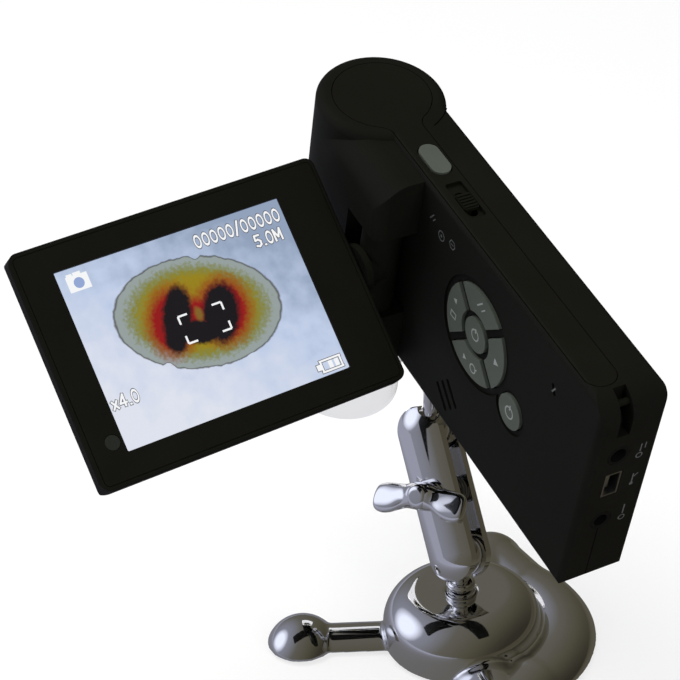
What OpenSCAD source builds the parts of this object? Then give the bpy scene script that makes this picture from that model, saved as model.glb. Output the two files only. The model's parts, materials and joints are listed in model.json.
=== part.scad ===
// Handheld LCD digital microscope on a ball-jointed clamp stand. Millimetres.
// The centre of the stand's base is the origin, the table is z = 0, z points up.

/* [Part] */
// One sub-part by name, or all of them

/* [Head] */
// Lean of the head on the stand, degrees
head_tilt = 17.8; // [10:0.1:25]
// Radius of the upright barrel
barrel_r = 16.6; // [16.2:0.1:17.6]
// Barrel axis to the socket end
head_len = 114.1; // [112:0.1:122]
// Height of the flat housing
head_h = 63.3; // [60:0.1:68]
// Barrel axis to the key face
front_y = 4.9; // [4.7:0.1:5.2]
// Barrel axis to the rear face
back_y = 13.1; // [12.6:0.1:14]
// Barrel below the underside of the flat housing
barrel_drop = 1.7; // [1.2:0.1:2.4]
// Rounding of the barrel's top edge
rim_r = 2.5; // [1.5:0.1:2.8]
// Housing wall
wall = 1.8;
// Rounding of the housing edges
edge_r = 1.8; // [1.2:0.1:2]
// Rounding of the upper socket-end corner
heel_r = 7; // [5:0.5:8]
// Top edge of the barrel round the cover
cap_margin = 4; // [3.6:0.1:4.6]
// Half width of the tail of the top cover
tail_y = 4; // [3.8:0.1:4.2]
// Rounding between the round end of the top cover and its tail
cap_blend = 4; // [2:0.5:5]
// Top cover short of the socket end
tail_gap = 6.8; // [6.4:0.1:9]
// Where the two housing halves meet
split_y = 2.1;

/* [Hinge] */
// Hinge axis from the barrel axis, along the housing
hinge_x = 24.9;
// Hinge axis behind the front of the hinge block
hinge_inset = 6.1;
// Rounding of the hinge block along its top
block_r = 8; // [6:0.5:8]
// Middle of the hinge below the top face
hinge_z = 32;
// Radius of the hinge knuckle
knuckle_r = 5.2; // [4.6:0.1:5.2]
// Half length of the hinge knuckle
knuckle_half = 13.5; // [12:0.1:14]
// Radius of the hinge pin
hinge_pin_r = 1.5; // [1.2:0.1:1.8]
// Opening angle of the lid
open_angle = 86; // [80:1:90]
// Swivel angle of the screen
swivel_angle = 59; // [0:1:60]

/* [Screen] */
// Length of the screen body
panel_w = 84.25; // [80:0.05:90]
// Height of the screen body
panel_h = 61.1; // [58:0.1:64]
// Thickness of the screen body
panel_t = 8; // [8:0.1:9]
// Hinge axis to the screen body
panel_gap = 7.4;
// Swivel edge to the middle of the display
screen_off = 44; // [42:0.1:45]
// Width of the display
screen_w = 61; // [56:0.1:62]
// Height of the display
screen_h = 45.75; // [42:0.05:47]
// Width of the display module behind the glass
display_w = 68; // [66:0.5:69]
// Height of the display module behind the glass
display_h = 53; // [50:0.5:54]
// Rim round the front plate
panel_rim = 1.15; // [1:0.05:1.4]
// Rounding of the rear edges of the screen body
panel_back_r = 5; // [4:0.1:5.5]
// Radius of the swivel shaft
swivel_r = 1.8; // [1.5:0.1:1.9]
// Light sensor from the free edge of the screen body
spot_x = 6.85; // [6:0.05:7.5]
// Light sensor from the lower edge of the screen body
spot_z = 10.8; // [9:0.1:12]
// Radius of the light sensor's window
spot_r = 2; // [1.6:0.1:2.2]

/* [Keys] */
// Middle of the round keypad along the housing
pad_x = 63; // [61:0.1:66]
// Middle of the round keypad below the top face
pad_z = 24.6; // [23.5:0.1:26]
// Inner radius of the direction keys
key_in = 6.4; // [6.4:0.1:7]
// Outer radius of the direction keys
key_out = 13.4; // [12.5:0.1:13.8]
// Gap between direction keys
key_gap = 2.3; // [2:0.1:2.8]
// Radius of the middle key and of the power key
ok_r = 4.7; // [4.2:0.1:4.7]
// Width of the battery
cell_w = 48; // [44:0.5:52]
// Height of the battery
cell_h = 40; // [36:0.5:41]
// Thickness of the battery
cell_t = 4.5; // [4:0.1:4.8]
// Power key along the housing
power_x = 81.8; // [81:0.1:84]
// Power key below the top face
power_z = 33; // [32:0.1:34]
// Snapshot key from the side of the barrel
snap_gap = 10; // [9.6:0.1:10.8]
// Slide knob along the top face
knob_x = 42.75; // [42:0.05:43.5]

/* [Sockets] */
// Power jack below the top face
dc_z = 17.8; // [17:0.1:18.5]
// Data socket below the top face
usb_z = 28; // [27.5:0.1:29]
// Audio-video jack below the top face
av_z = 40.8; // [39:0.1:44]
// Middle of the sockets behind the barrel axis
port_y = 2.3;

/* [Lens] */
// Wall of the focus ring, outside of the barrel to the lens barrel
ring_wall = 4; // [3.8:0.1:4.2]
// Wall of the lens barrel
tube_wall = 2.6; // [2.2:0.1:2.8]
// Radius of the objective lens
lens_r = 6; // [5:0.1:6.5]
// Height of the focus ring
focus_h = 12; // [10:0.1:12]
// Step from the lens barrel to the nose that carries the light shade
nose_step = 1.5; // [1.3:0.1:1.6]
// Wall of the light shade
shade_wall = 1.5; // [1.3:0.1:1.7]
// Length of the light shade
shade_len = 25.5; // [22:0.1:27]

/* [Stand] */
// Height of the lower ball
ball_z = 28;
// Radius of the turned collar on the lower stud
collar_r = 3.9; // [3.2:0.1:4.2]
// Radius of both balls
ball_r = 6;
// Distance between the balls
arm_len = 34.5; // [33:0.1:36]
// Lean of the clamp arm
arm_lean = 38.5; // [34:0.1:42]
// Heading of the clamp arm
arm_heading = 171.2; // [165:0.1:178]
// Turn of the clamp plates about the arm
arm_roll = 130; // [125:1:135]
// Half width of a clamp plate
plate_r = 6.75; // [6.6:0.05:7.2]
// Outer face of a clamp plate from the middle of the arm
plate_out = 7; // [7:0.1:7.6]
// Inner face of a clamp plate from the middle of the arm
plate_in = 2.5; // [2.4:0.1:2.8]
// Radius of the clamp bolt
bolt_r = 2.5; // [2:0.1:2.6]
// Radius of the stud necks
neck_r = 2.4; // [2:0.1:2.4]
// Stud position on the head, along the housing
stud_x = 39;
// Stud position on the head, toward the rear
stud_y = 4;
// Upper ball below the underside of the flat housing
stud_drop = 24.7;
// Heading of the long leg of the base
leg_heading = 242; // [235:1:250]
// Long leg, from the middle to the centre of its toe
long_leg = 44; // [40:0.5:50]
// Side legs, from the middle to the centres of their toes
side_leg = 36.5; // [35:0.5:40]
// Angle from the long leg to a side leg
leg_spread = 105; // [100:1:108]
// Middle line of the arc that joins the side legs
arc_r = 27.5; // [26.5:0.5:28]
// Radius of a toe
leg_r = 10.25; // [9.5:0.05:10.5]
// Height of a toe
leg_h = 8; // [7.5:0.1:8.5]
// Height of the long leg's waist
waist_h = 5; // [4.5:0.1:6]
// Radius of the raised hub
hub_r = 21.6; // [20:0.1:22.5]
// Height of the hub
hub_h = 16.5;
// Reach of a wing of the wing nut
wing_len = 13.9; // [12:0.1:15]
// Lean of the wings
wing_tilt = 35; // [20:1:40]

/* [Fits] */
// Radial clearance of a running fit
run_fit = 0.08;
// Clearance between parts that move past each other
clear = 0.3;

/* [Hidden] */
$fn = 48;
eps = 0.01;
top_t = 3.4;
cover_t = 1.7;
barrel_h = head_h + barrel_drop;
cap_r = barrel_r - cap_margin;
tail_x = head_len - tail_gap;
hinge_y = barrel_r - hinge_inset;
tube_r = barrel_r - ring_wall;
cell_r = tube_r - tube_wall;
nose_r = tube_r + nose_step;
shade_r = nose_r + shade_wall;
stud_z = head_h + stud_drop;
ball_top = [arm_len * sin(arm_lean) * cos(arm_heading), arm_len * sin(arm_lean) * sin(arm_heading),
  ball_z + arm_len * cos(arm_lean)];
in_front = front_y - wall;
in_back = back_y - wall;
seat_z = barrel_h - 10;
nose_z = barrel_h + clear + focus_h + clear;
shade_top = nose_z + 1.6;
board_y = 4.8;
bush_h = 8.3;
end_screw_x = head_len - 11.1;
near_screw_x = barrel_r + 7.4;
screws = [[end_screw_x, 8], [end_screw_x, head_h - 7.8], [near_screw_x, 16],
  [near_screw_x, head_h - 6.3]];
speaker_x = pad_x - 7.1;
snap_x = barrel_r + snap_gap;
cell_x = pad_x - cell_w * 0.28;
cell_top = pad_z - cell_h * 0.316;
speaker_z = head_h - 10.1;
strap_x = head_len - 3.5;
panel_x = panel_gap;
screen_x = panel_gap + screen_off;
plate_y = panel_t / 2 - 1.4;
pocket_x = head_len - 5.6;
sensor_x = panel_x + panel_w - spot_x;
sensor_z = panel_h / 2 - spot_z;
mid = arm_len / 2;
up_az = -50.1;
low_az = 148.5;
leg_c = leg_h - leg_r;
waist_r = 7;
waist_c = waist_h - waist_r;
arc_end = 129;
toe = side_leg * [cos(leg_spread), sin(leg_spread)];
bend = arc_r * [cos(arc_end), sin(arc_end)];
link = toe - bend;
cell_z = -barrel_h - 15;
stud_r = 4;
stud_foot = 4;
rim_w = 0.6;
dome_r = 10.76;
hub_foot = hub_h - 10.5;
hub_flat = hub_r - dome_r + sqrt(pow(dome_r, 2) - pow(hub_h - hub_foot, 2));
dish_h = 0.5;

// Placement of the head, the screen, the clamp arm and the base's mirror line
module in_head() {
  translate(ball_top)
    rotate([0, head_tilt, 0])
      translate([-stud_x, -stud_y, stud_z])
        children();
}
module in_panel() {
  in_head()
    translate([hinge_x, -hinge_y, -hinge_z])
      rotate([0, 0, -open_angle])
        rotate([swivel_angle, 0, 0])
          children();
}
module in_knuckle() {
  in_head()
    translate([hinge_x, -hinge_y, -hinge_z])
      rotate([0, 0, -open_angle])
        children();
}
module in_arm() {
  translate([0, 0, ball_z])
    rotate([0, arm_lean, arm_heading])
      rotate([0, 0, arm_roll])
        children();
}

// Small helpers: extrusions and cylinders along the three axes
module face_y(y0, y1) {
  translate([0, y1, 0])
    rotate([90, 0, 0])
      linear_extrude(height = y1 - y0)
        children();
}
module face_x(x0, x1) {
  translate([x0, 0, 0])
    rotate([90, 0, 90])
      linear_extrude(height = x1 - x0)
        children();
}
module rod_y(x, z, r, y0, y1) {
  translate([x, y1, -z])
    rotate([90, 0, 0])
      cylinder(h = y1 - y0, r = r);
}
module rod_x(y, z, r, x0, x1) {
  translate([x0, y, z])
    rotate([0, 90, 0])
      cylinder(h = x1 - x0, r = r);
}
module rod_z(x, y, r, z0, z1) {
  translate([x, y, z0])
    cylinder(h = z1 - z0, r = r);
}
module block(x0, x1, y0, y1, z0, z1) {
  translate([x0, y0, z0])
    cube([x1 - x0, y1 - y0, z1 - z0]);
}
module rrect(x0, x1, y0, y1, r) {
  translate([x0 + r, y0])
    square([x1 - x0 - 2 * r, y1 - y0]);
  translate([x0, y0 + r])
    square([x1 - x0, y1 - y0 - 2 * r]);
  for (x = [x0 + r, x1 - r], y = [y0 + r, y1 - r])
    translate([x, y])
      circle(r);
}

// Outside of the head: round barrel, flat housing and hinge block
module side_profile() {
  rb = 3;
  translate([-5, -head_h])
    square([head_len + 5 - heel_r, head_h]);
  translate([-5, -head_h + rb])
    square([head_len + 5, head_h - rb - heel_r]);
  translate([head_len - heel_r - 1, -head_h])
    square([heel_r + 1 - rb, head_h - heel_r]);
  translate([head_len - heel_r, -heel_r])
    circle(heel_r, $fn = 64);
  translate([head_len - rb, -head_h + rb])
    circle(rb);
}
module slab() {
  intersection() {
    translate([0, 0, -head_h])
      linear_extrude(height = head_h)
        rrect(-8, head_len, -front_y, back_y, edge_r);
    face_y(-front_y - 1, back_y + 1)
      side_profile();
    face_x(-5, head_len + 1)
      rrect(-front_y, back_y, -head_h, 0, edge_r);
  }
}
module barrel() {
  rotate_extrude($fn = 96) {
    translate([0, -barrel_h])
      square([barrel_r, barrel_h - rim_r]);
    translate([0, -rim_r - eps])
      square([barrel_r - rim_r, rim_r + eps]);
    translate([barrel_r - rim_r, -rim_r])
      circle(rim_r);
  }
}
module hinge_block() {
  x1 = hinge_x + 6.8;
  intersection() {
    translate([0, 0, -head_h + 0.8])
      linear_extrude(height = head_h - 2) {
        translate([0, -barrel_r])
          square([x1 - 3, barrel_r - 4]);
        translate([0, -barrel_r + 3])
          square([x1, barrel_r - 7]);
        translate([x1 - 3, -barrel_r + 3])
          circle(3);
      }
    face_x(-1, x1 + 1) {
      translate([-barrel_r + block_r, -head_h])
        square([20, head_h - 1.2]);
      translate([-barrel_r, -head_h])
        square([20, head_h - 1.2 - block_r]);
      translate([-barrel_r + block_r, -1.2 - block_r])
        circle(block_r, $fn = 72);
    }
  }
}
module cavity() {
  block(barrel_r + 1.8, head_len - wall, -in_front, in_back, -head_h + wall, -top_t);
  block(8, barrel_r + 2, -in_front, in_back, -seat_z + 1, -top_t);
  rod_z(0, 0, barrel_r - wall, -seat_z, -top_t);
  rod_z(0, 0, tube_r + 0.1, -barrel_h - 1, -seat_z + 1);
}
module cover_outline(grow) {
  f = cap_blend - grow - 0.05;
  by = tail_y + cap_blend;
  bx = sqrt(pow(cap_r + cap_blend, 2) - pow(by, 2));
  w = by * cap_r / (cap_r + cap_blend) - grow - 0.3;
  difference() {
    union() {
      circle(cap_r + grow, $fn = 96);
      translate([0, -w - grow])
        square([bx, 2 * (w + grow)]);
      translate([0, -tail_y - grow])
        square([tail_x - 3.2, 2 * (tail_y + grow)]);
    }
    for (y = [-by, by])
      translate([bx, y])
        circle(f, $fn = 72);
  }
  translate([tail_x - 4, -tail_y + 3.4])
    square([4 + grow, tail_y * 2 - 6.8]);
  for (y = [-tail_y + 3.6, tail_y - 3.6])
    translate([tail_x - 3.6, y])
      circle(3.6 + grow);
}

// Openings in the key face
module key_shape(turn, grow) {
  a = (key_gap / 2 - grow) * sqrt(2);
  translate([pad_x, -pad_z])
    rotate(turn)
      intersection() {
        difference() {
          circle(key_out + grow, $fn = 72);
          circle(key_in - grow, $fn = 48);
        }
        polygon([[0, a], [20, 20 + a], [-20, 20 + a]]);
      }
}
module disc_shape(x, z, r) {
  translate([x, -z])
    circle(r);
}
module obround(x, y, l, w) {
  translate([x - l / 2 + w / 2, y - w / 2])
    square([l - w, w]);
  for (s = [-1, 1])
    translate([x + s * (l - w) / 2, y])
      circle(w / 2);
}
module speaker_slots() {
  for (i = [-1, 0, 1])
    translate([speaker_x + 2 * i, -speaker_z + 2.4 * i])
      rotate(-41)
        obround(0, 0, 8, 1.3);
}
module key_face_cuts() {
  face_y(-front_y - 1, -front_y + 0.5) {
    disc_shape(pad_x, pad_z, 15.3);
    disc_shape(power_x, power_z, 6.3);
  }
  face_y(-front_y - 1, 0) {
    for (t = [0, 90, 180, 270])
      key_shape(t, clear);
    disc_shape(pad_x, pad_z, ok_r + clear);
    disc_shape(power_x, power_z, ok_r + clear);
    speaker_slots();
    translate([head_len - 18.6, -11.5])
      rotate(-60)
        obround(0, 0, 3.4, 1);
  }
}
module top_face_cuts() {
  translate([0, 0, -top_t - 1])
    linear_extrude(height = 6) {
      obround(snap_x, 0.5, 11 + 2 * clear, 5.2 + 2 * clear);
      obround(knob_x, 0.4, 8.8, 2.6);
    }
  translate([0, 0, -1])
    linear_extrude(height = 2)
      rrect(knob_x - 7.2, knob_x + 5.8, -1.9, 2.7, 0.8);
}
module port_face_cuts() {
  rod_x(port_y, -dc_z, 2.9, head_len - 3, head_len + 1);
  rod_x(port_y, -av_z, 2.8, head_len - 3, head_len + 1);
  block(head_len - 3, head_len + 1, port_y - 2, port_y + 2.6, -usb_z - 3.95, -usb_z + 3.95);
  intersection() {
    block(pocket_x, head_len + 1, 0.4, 3.8, -11, 1);
    face_y(-5, 10)
      difference() {
        translate([head_len - 14, -20])
          square(30);
        translate([pocket_x + 0.4, -10.6])
          circle(2.2);
      }
  }
}

// Hollow shell of the head before it is split into two halves
module shell() {
  difference() {
    union() {
      difference() {
        union() {
          slab();
          barrel();
        }
        cavity();
      }
      for (s = screws)
        rod_y(s[0], s[1], 3, -in_front - eps, in_back + eps);
      block(head_len - 8.6, head_len - 1, -0.8, board_y, -12.2, -3);
      rod_z(stud_x, stud_y, 6.5, -head_h + 1, -head_h + bush_h + 1);
    }
    translate([0, 0, -cover_t])
      linear_extrude(height = cover_t + 1)
        cover_outline(0.2);
    key_face_cuts();
    top_face_cuts();
    port_face_cuts();
    rod_z(stud_x, stud_y, 4.5, -head_h - 1, -head_h + bush_h);
    rod_y(strap_x, 3.4, 0.9, -0.4, 4.4);
  }
}
module screw_cuts(r) {
  for (s = screws)
    rod_y(s[0], s[1], r, -front_y + 2.4, back_y + 1);
}
module ears() {
  difference() {
    hinge_block();
    cavity();
    block(hinge_x - 7.7, 45, -25, -front_y, -hinge_z - knuckle_half - clear,
      -hinge_z + knuckle_half + clear);
    rod_z(hinge_x, -hinge_y, hinge_pin_r, -head_h + 7.3, -8);
  }
}

module front_housing() {
  color("#1b1b1d")
    in_head() {
      difference() {
        union() {
          intersection() {
            shell();
            block(-20, 130, -30, split_y, -70, 5);
          }
          ears();
        }
        rod_z(hinge_x, -hinge_y, knuckle_r + clear, -hinge_z - knuckle_half - clear,
          -hinge_z + knuckle_half + clear);
        screw_cuts(0.9);
        translate([0, 0, -cover_t])
          linear_extrude(height = cover_t + 1)
            cover_outline(0.2);
      }
      for (x = [pad_x - 15, pad_x + 23], z = [11, 40])
        rod_y(x, z, 1.5, -in_front - 0.5, -0.3);
    }
}
module rear_housing() {
  color("#1c1c1e")
    in_head()
      difference() {
        union() {
          intersection() {
            shell();
            block(-20, 130, split_y, 30, -70, 5);
          }
          for (s = screws)
            rod_y(s[0], s[1], 4, board_y + 1.2, in_back + eps);
        }
        screw_cuts(1.2);
        for (s = screws)
          rod_y(s[0], s[1], 2.2, back_y - 2, back_y + 1);
        rod_z(stud_x, stud_y, 4.5, -head_h - 1, -head_h + bush_h);
      }
}
module top_cover() {
  color("#151517")
    in_head()
      difference() {
        intersection() {
          union() {
            slab();
            barrel();
          }
          translate([0, 0, -cover_t])
            linear_extrude(height = cover_t + 1)
              cover_outline(0);
        }
        top_face_cuts();
        port_face_cuts();
      }
}
module case_screws() {
  color("#55575a")
    in_head()
      for (s = screws)
        difference() {
          union() {
            rod_y(s[0], s[1], 0.9, -front_y + 2.4, 5);
            rod_y(s[0], s[1], 0.9, 4.9, back_y - 2);
            rod_y(s[0], s[1], 2, back_y - 2, back_y - 0.7);
          }
          rod_y(s[0], s[1], 0.7, back_y - 1.5, back_y);
        }
}
module strap_bar() {
  color("#2b2b2d")
    in_head()
      rod_y(strap_x, 3.4, 0.9, -0.4, 4.4);
}

// Boards, battery and speaker
module main_board() {
  color("#1d5b3a")
    in_head()
      difference() {
        block(near_screw_x, head_len - 3.4, board_y, board_y + 1.2, -head_h + 3.4, -5);
        block(stud_x - 7.2, stud_x + 7.2, 0, 10, -head_h, -head_h + bush_h + 2);
        for (s = screws)
          rod_y(s[0], s[1], 3.2, 0, 10);
      }
}
module battery() {
  color("#3b4a66")
    in_head()
      block(cell_x, cell_x + cell_w, in_back - cell_t, in_back, -cell_top - cell_h, -cell_top);
}
module keypad_board() {
  color("#1d5b3a")
    in_head()
      block(pad_x - 17, power_x + 6.2, -0.3, 0.7, -power_z - 9, -9);
}
module dome_switches() {
  r = (key_in + key_out) / 2;
  color("#c9ccd0")
    in_head() {
      for (t = [0, 90, 180, 270])
        rod_y(pad_x + r * sin(t), pad_z + r * cos(t), 2.2, -0.9, -0.3);
      rod_y(pad_x, pad_z, 2.2, -0.9, -0.3);
      rod_y(power_x, power_z, 2.2, -0.9, -0.3);
    }
}
module speaker() {
  color("#303236")
    in_head()
      difference() {
        rod_y(speaker_x, speaker_z, 5.5, -in_front, 0.5);
        rod_y(speaker_x, speaker_z, 4.6, -in_front - 1, -in_front + 0.8);
      }
}

// Keys: caps through the key face, flanges behind it
module arc_key(turn) {
  r = (key_in + key_out) / 2;
  in_head() {
    face_y(-front_y - 0.2, -2.5)
      key_shape(turn, 0);
    face_y(-in_front + 0.2, -2.1)
      key_shape(turn, 0.6);
    rod_y(pad_x - r * sin(turn), pad_z - r * cos(turn), 1.2, -2.2, -1.6);
  }
}
module round_key(x, z) {
  in_head() {
    rod_y(x, z, ok_r, -front_y - 0.2, -2.5);
    rod_y(x, z, ok_r + 0.75, -in_front + 0.2, -2.1);
    rod_y(x, z, 1.2, -2.2, -1.6);
  }
}
module key_up() {
  color("#5f6a66")
    arc_key(0);
}
module key_left() {
  color("#5f6a66")
    arc_key(90);
}
module key_down() {
  color("#5f6a66")
    arc_key(180);
}
module key_right() {
  color("#5f6a66")
    arc_key(270);
}
module ok_button() {
  color("#5f6a66")
    round_key(pad_x, pad_z);
}
module power_button() {
  color("#5f6a66")
    round_key(power_x, power_z);
}
module snapshot_button() {
  color("#5f6a66")
    in_head() {
      translate([0, 0, -top_t - 0.6])
        linear_extrude(height = top_t + 1)
          obround(snap_x, 0.5, 11, 5.2);
      translate([0, 0, -top_t - 1])
        linear_extrude(height = 0.8)
          obround(snap_x, 0.5, 12.2, 6.2);
      rod_z(snap_x, 0.5, 1.3, -top_t - 1.4, -top_t - 0.9);
    }
}
module snapshot_switch() {
  color("#26282b")
    in_head() {
      block(snap_x - 3, snap_x + 3, -1.4, board_y, -8.2, -5.8);
      rod_z(snap_x, 0.5, 1.6, -5.9, -5.5);
    }
}
module slide_knob() {
  color("#202124")
    in_head() {
      translate([0, 0, -0.7])
        linear_extrude(height = 0.9)
          rrect(knob_x - 2.75, knob_x + 2.75, -1.6, 2.4, 0.5);
      for (i = [-2:2])
        block(knob_x + i - 0.25, knob_x + i + 0.25, -1.4, 2.2, 0, 0.5);
      block(knob_x - 1.5, knob_x + 1.5, -0.6, 1.4, -top_t - 1.3, -0.6);
    }
}
module slide_switch() {
  color("#8d9196")
    in_head()
      block(knob_x - 5, knob_x + 5, -1.6, board_y, -8.4, -top_t - 1.5);
}

// Sockets at the far end of the head
module dc_jack() {
  color("#26282b")
    in_head() {
      difference() {
        union() {
          block(head_len - 13.6, head_len - wall, port_y - 4.2, board_y, -dc_z - 4.4, -dc_z + 4.4);
          rod_x(port_y, -dc_z, 2.8, head_len - 2, head_len);
        }
        rod_x(port_y, -dc_z, 2.1, head_len - 10, head_len + 1);
      }
      rod_x(port_y, -dc_z, 0.55, head_len - 10.2, head_len - 1.6);
    }
}
module usb_socket() {
  color("#c4c7ca")
    in_head() {
      difference() {
        block(head_len - 9, head_len - 0.1, port_y - 1.9, board_y, -usb_z - 3.85, -usb_z + 3.85);
        block(head_len - 8.4, head_len + 1, port_y - 1.5, port_y + 2.1, -usb_z - 3.45,
          -usb_z + 3.45);
      }
      block(head_len - 8.6, head_len - 1.6, port_y - 0.2, port_y + 0.6, -usb_z - 2.6, -usb_z + 2.6);
    }
}
module av_jack() {
  color("#26282b")
    in_head()
      difference() {
        union() {
          block(head_len - 13.6, head_len - wall, port_y - 3.5, board_y, -av_z - 3.2, -av_z + 3.2);
          rod_x(port_y, -av_z, 2.7, head_len - 2, head_len);
        }
        rod_x(port_y, -av_z, 1.8, head_len - 12, head_len + 1);
      }
}

// Optics
module lens_barrel() {
  color("#2a2b2e")
    in_head()
      rotate_extrude($fn = 96)
        polygon([[cell_r + run_fit, -seat_z + 5], [tube_r, -seat_z + 5], [tube_r, -seat_z + 3],
          [barrel_r - wall - 0.2, -seat_z + 3], [barrel_r - wall - 0.2, -seat_z],
          [tube_r, -seat_z], [tube_r, -nose_z], [nose_r, -nose_z], [nose_r, -nose_z - 6.4],
          [cell_r + run_fit, -nose_z - 6.4]]);
}
module focus_ring() {
  z1 = -barrel_h - clear;
  z0 = z1 - focus_h;
  color("#19191b")
    in_head()
      difference() {
        rod_z(0, 0, barrel_r, z0, z1, $fn = 96);
        rod_z(0, 0, tube_r + run_fit, z0 - 1, z1 + 1, $fn = 96);
        for (a = [0:15:359])
          rotate([0, 0, a])
            rod_z(barrel_r + 0.7, 0, 1.2, z0 + 1.5, z1 - 1.5, $fn = 16);
      }
}
module lens_cell() {
  color("#3a3c40")
    in_head()
      rotate_extrude($fn = 72)
        polygon([[cell_r, cell_z + 14], [cell_r, cell_z], [lens_r - 0.8, cell_z],
          [lens_r - 0.8, cell_z + 0.8], [lens_r, cell_z + 0.8], [lens_r, cell_z + 5],
          [cell_r - 1.6, cell_z + 5], [cell_r - 1.6, cell_z + 14]]);
}
module objective_lens() {
  c = 15;
  h = sqrt(c * c - lens_r * lens_r);
  color("#bcd3e0")
    in_head()
      rotate_extrude()
        intersection() {
          translate([0, cell_z + 0.8])
            square([lens_r, 4]);
          translate([0, cell_z + 1.6 + h])
            circle(c, $fn = 96);
          translate([0, cell_z + 3.4 - h])
            circle(c, $fn = 96);
        }
}
module sensor_board() {
  color("#1d5b3a")
    in_head() {
      rod_z(0, 0, tube_r - 0.2, -seat_z + 5, -seat_z + 6.6);
      block(-4, 4, -3.5, 3.5, -seat_z + 3.8, -seat_z + 5.1);
    }
}
module led_board() {
  color("#e6e8e6")
    in_head()
      difference() {
        rod_z(0, 0, nose_r - 0.5, -nose_z - 7.6, -nose_z - 6.4);
        rod_z(0, 0, cell_r + 0.4, -nose_z - 9, -nose_z - 5);
      }
}
module leds() {
  r = (nose_r + cell_r) / 2;
  led_r = 1.2;
  color("#f2f0dc")
    in_head()
      for (a = [0:45:359])
        rotate([0, 0, a]) {
          rod_z(r, 0, led_r, -nose_z - 8.9, -nose_z - 7.6);
          translate([r, 0, -nose_z - 8.9])
            sphere(led_r);
        }
}
module light_shade() {
  color("#dfe6ea", 0.4)
    in_head()
      difference() {
        rod_z(0, 0, shade_r, -shade_top - shade_len, -shade_top, $fn = 96);
        rod_z(0, 0, nose_r + run_fit, -shade_top - shade_len - 1, -nose_z, $fn = 96);
      }
}
module tripod_bush() {
  color("#b59a5b")
    in_head()
      difference() {
        rod_z(stud_x, stud_y, 4.5, -head_h, -head_h + bush_h);
        rod_z(stud_x, stud_y, 3.1, -head_h - 1, -head_h + bush_h - 1);
      }
}

// Hinge and swivel
module hinge_pin() {
  color("#a9acb0")
    in_head()
      rod_z(hinge_x, -hinge_y, hinge_pin_r, -head_h + 7.3, -8);
}
module hinge_knuckle() {
  color("#18181a")
    in_knuckle()
      difference() {
        union() {
          rod_z(0, 0, knuckle_r, -knuckle_half, knuckle_half);
          rod_x(0, 0, knuckle_r, 0, panel_gap - clear);
          rod_x(0, 0, knuckle_r + 1.3, panel_gap - clear - 1.8, panel_gap - clear);
        }
        rod_z(0, 0, hinge_pin_r + run_fit, -knuckle_half - 1, knuckle_half + 1);
        rod_x(0, 0, swivel_r, 2.4, panel_gap + 1);
      }
}
module swivel_shaft() {
  color("#a9acb0")
    in_knuckle() {
      rod_x(0, 0, swivel_r, 2.4, 16);
      rod_x(0, 0, swivel_r + 0.5, 14, 15.2);
    }
}

// Screen body. X leads away from the hinge, Y out of the display
module panel_profile(w0, w1, t0, t1, r, f) {
  translate([w0, t0 + r])
    square([w1 - w0, t1 - t0 - r - f]);
  translate([w0 + r, t0])
    square([w1 - w0 - 2 * r, t1 - t0 - f]);
  translate([w0 + f, t1 - f - eps])
    square([w1 - w0 - 2 * f, f + eps]);
  for (w = [w0 + r, w1 - r])
    translate([w, t0 + r])
      circle(r);
  for (w = [w0 + f, w1 - f])
    translate([w, t1 - f])
      circle(f);
}
module panel_body(x0, x1, half, t0, t1, r, f, c) {
  intersection() {
    face_y(t0, t1)
      rrect(x0, x1, -half, half, c);
    translate([0, 0, -half])
      linear_extrude(height = 2 * half)
        panel_profile(x0, x1, t0, t1, r, f);
    face_x(x0, x1)
      rotate(90)
        mirror([0, 1])
          panel_profile(-half, half, t0, t1, r, f);
  }
}
module screen_rear() {
  half = panel_h / 2;
  t = panel_t / 2;
  color("#1a1a1c")
    in_panel()
      difference() {
        union() {
          difference() {
            panel_body(panel_x, panel_x + panel_w, half, -t, t, panel_back_r, 0.6, 3);
            panel_body(panel_x + 2.3, panel_x + panel_w - 2.3, half - 2.3, -t + 1.5, plate_y + 1,
              2, 0.3, 2);
          }
          block(panel_x + 1.2, 16.9, -t + 1.2, plate_y, -7, 7);
        }
        face_y(plate_y, t + 1)
          rrect(panel_x + panel_rim, panel_x + panel_w - panel_rim, -half + panel_rim,
            half - panel_rim, 1.5);
        rod_x(0, 0, swivel_r + run_fit, panel_x - 1, 20);
        rod_x(0, 0, swivel_r + 0.78, 13.7, 15.5);
      }
}
module screen_front() {
  g = panel_rim + 0.15;
  half = panel_h / 2;
  t = panel_t / 2;
  color("#202022")
    in_panel()
      difference() {
        face_y(plate_y, t)
          rrect(panel_x + g, panel_x + panel_w - g, -half + g, half - g, 1.3);
        face_y(plate_y - 1, t + 1)
          rrect(screen_x - screen_w / 2 - 0.2, screen_x + screen_w / 2 + 0.2, -screen_h / 2 - 0.2,
            screen_h / 2 + 0.2, 0.4);
        rod_y(sensor_x, sensor_z, spot_r, plate_y - 1, t + 1);
      }
}
module screen_window() {
  color("#9db4c4")
    in_panel()
      block(screen_x - screen_w / 2, screen_x + screen_w / 2, plate_y, panel_t / 2 - 0.2,
        -screen_h / 2, screen_h / 2);
}
module display_module() {
  color("#44484d")
    in_panel()
      block(screen_x - display_w / 2, screen_x + display_w / 2, -0.6, plate_y, -display_h / 2,
        display_h / 2);
}
module light_sensor() {
  color("#8f9498")
    in_panel()
      rod_y(sensor_x, sensor_z, spot_r - 0.1, plate_y, panel_t / 2 - 0.1);
}

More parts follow.
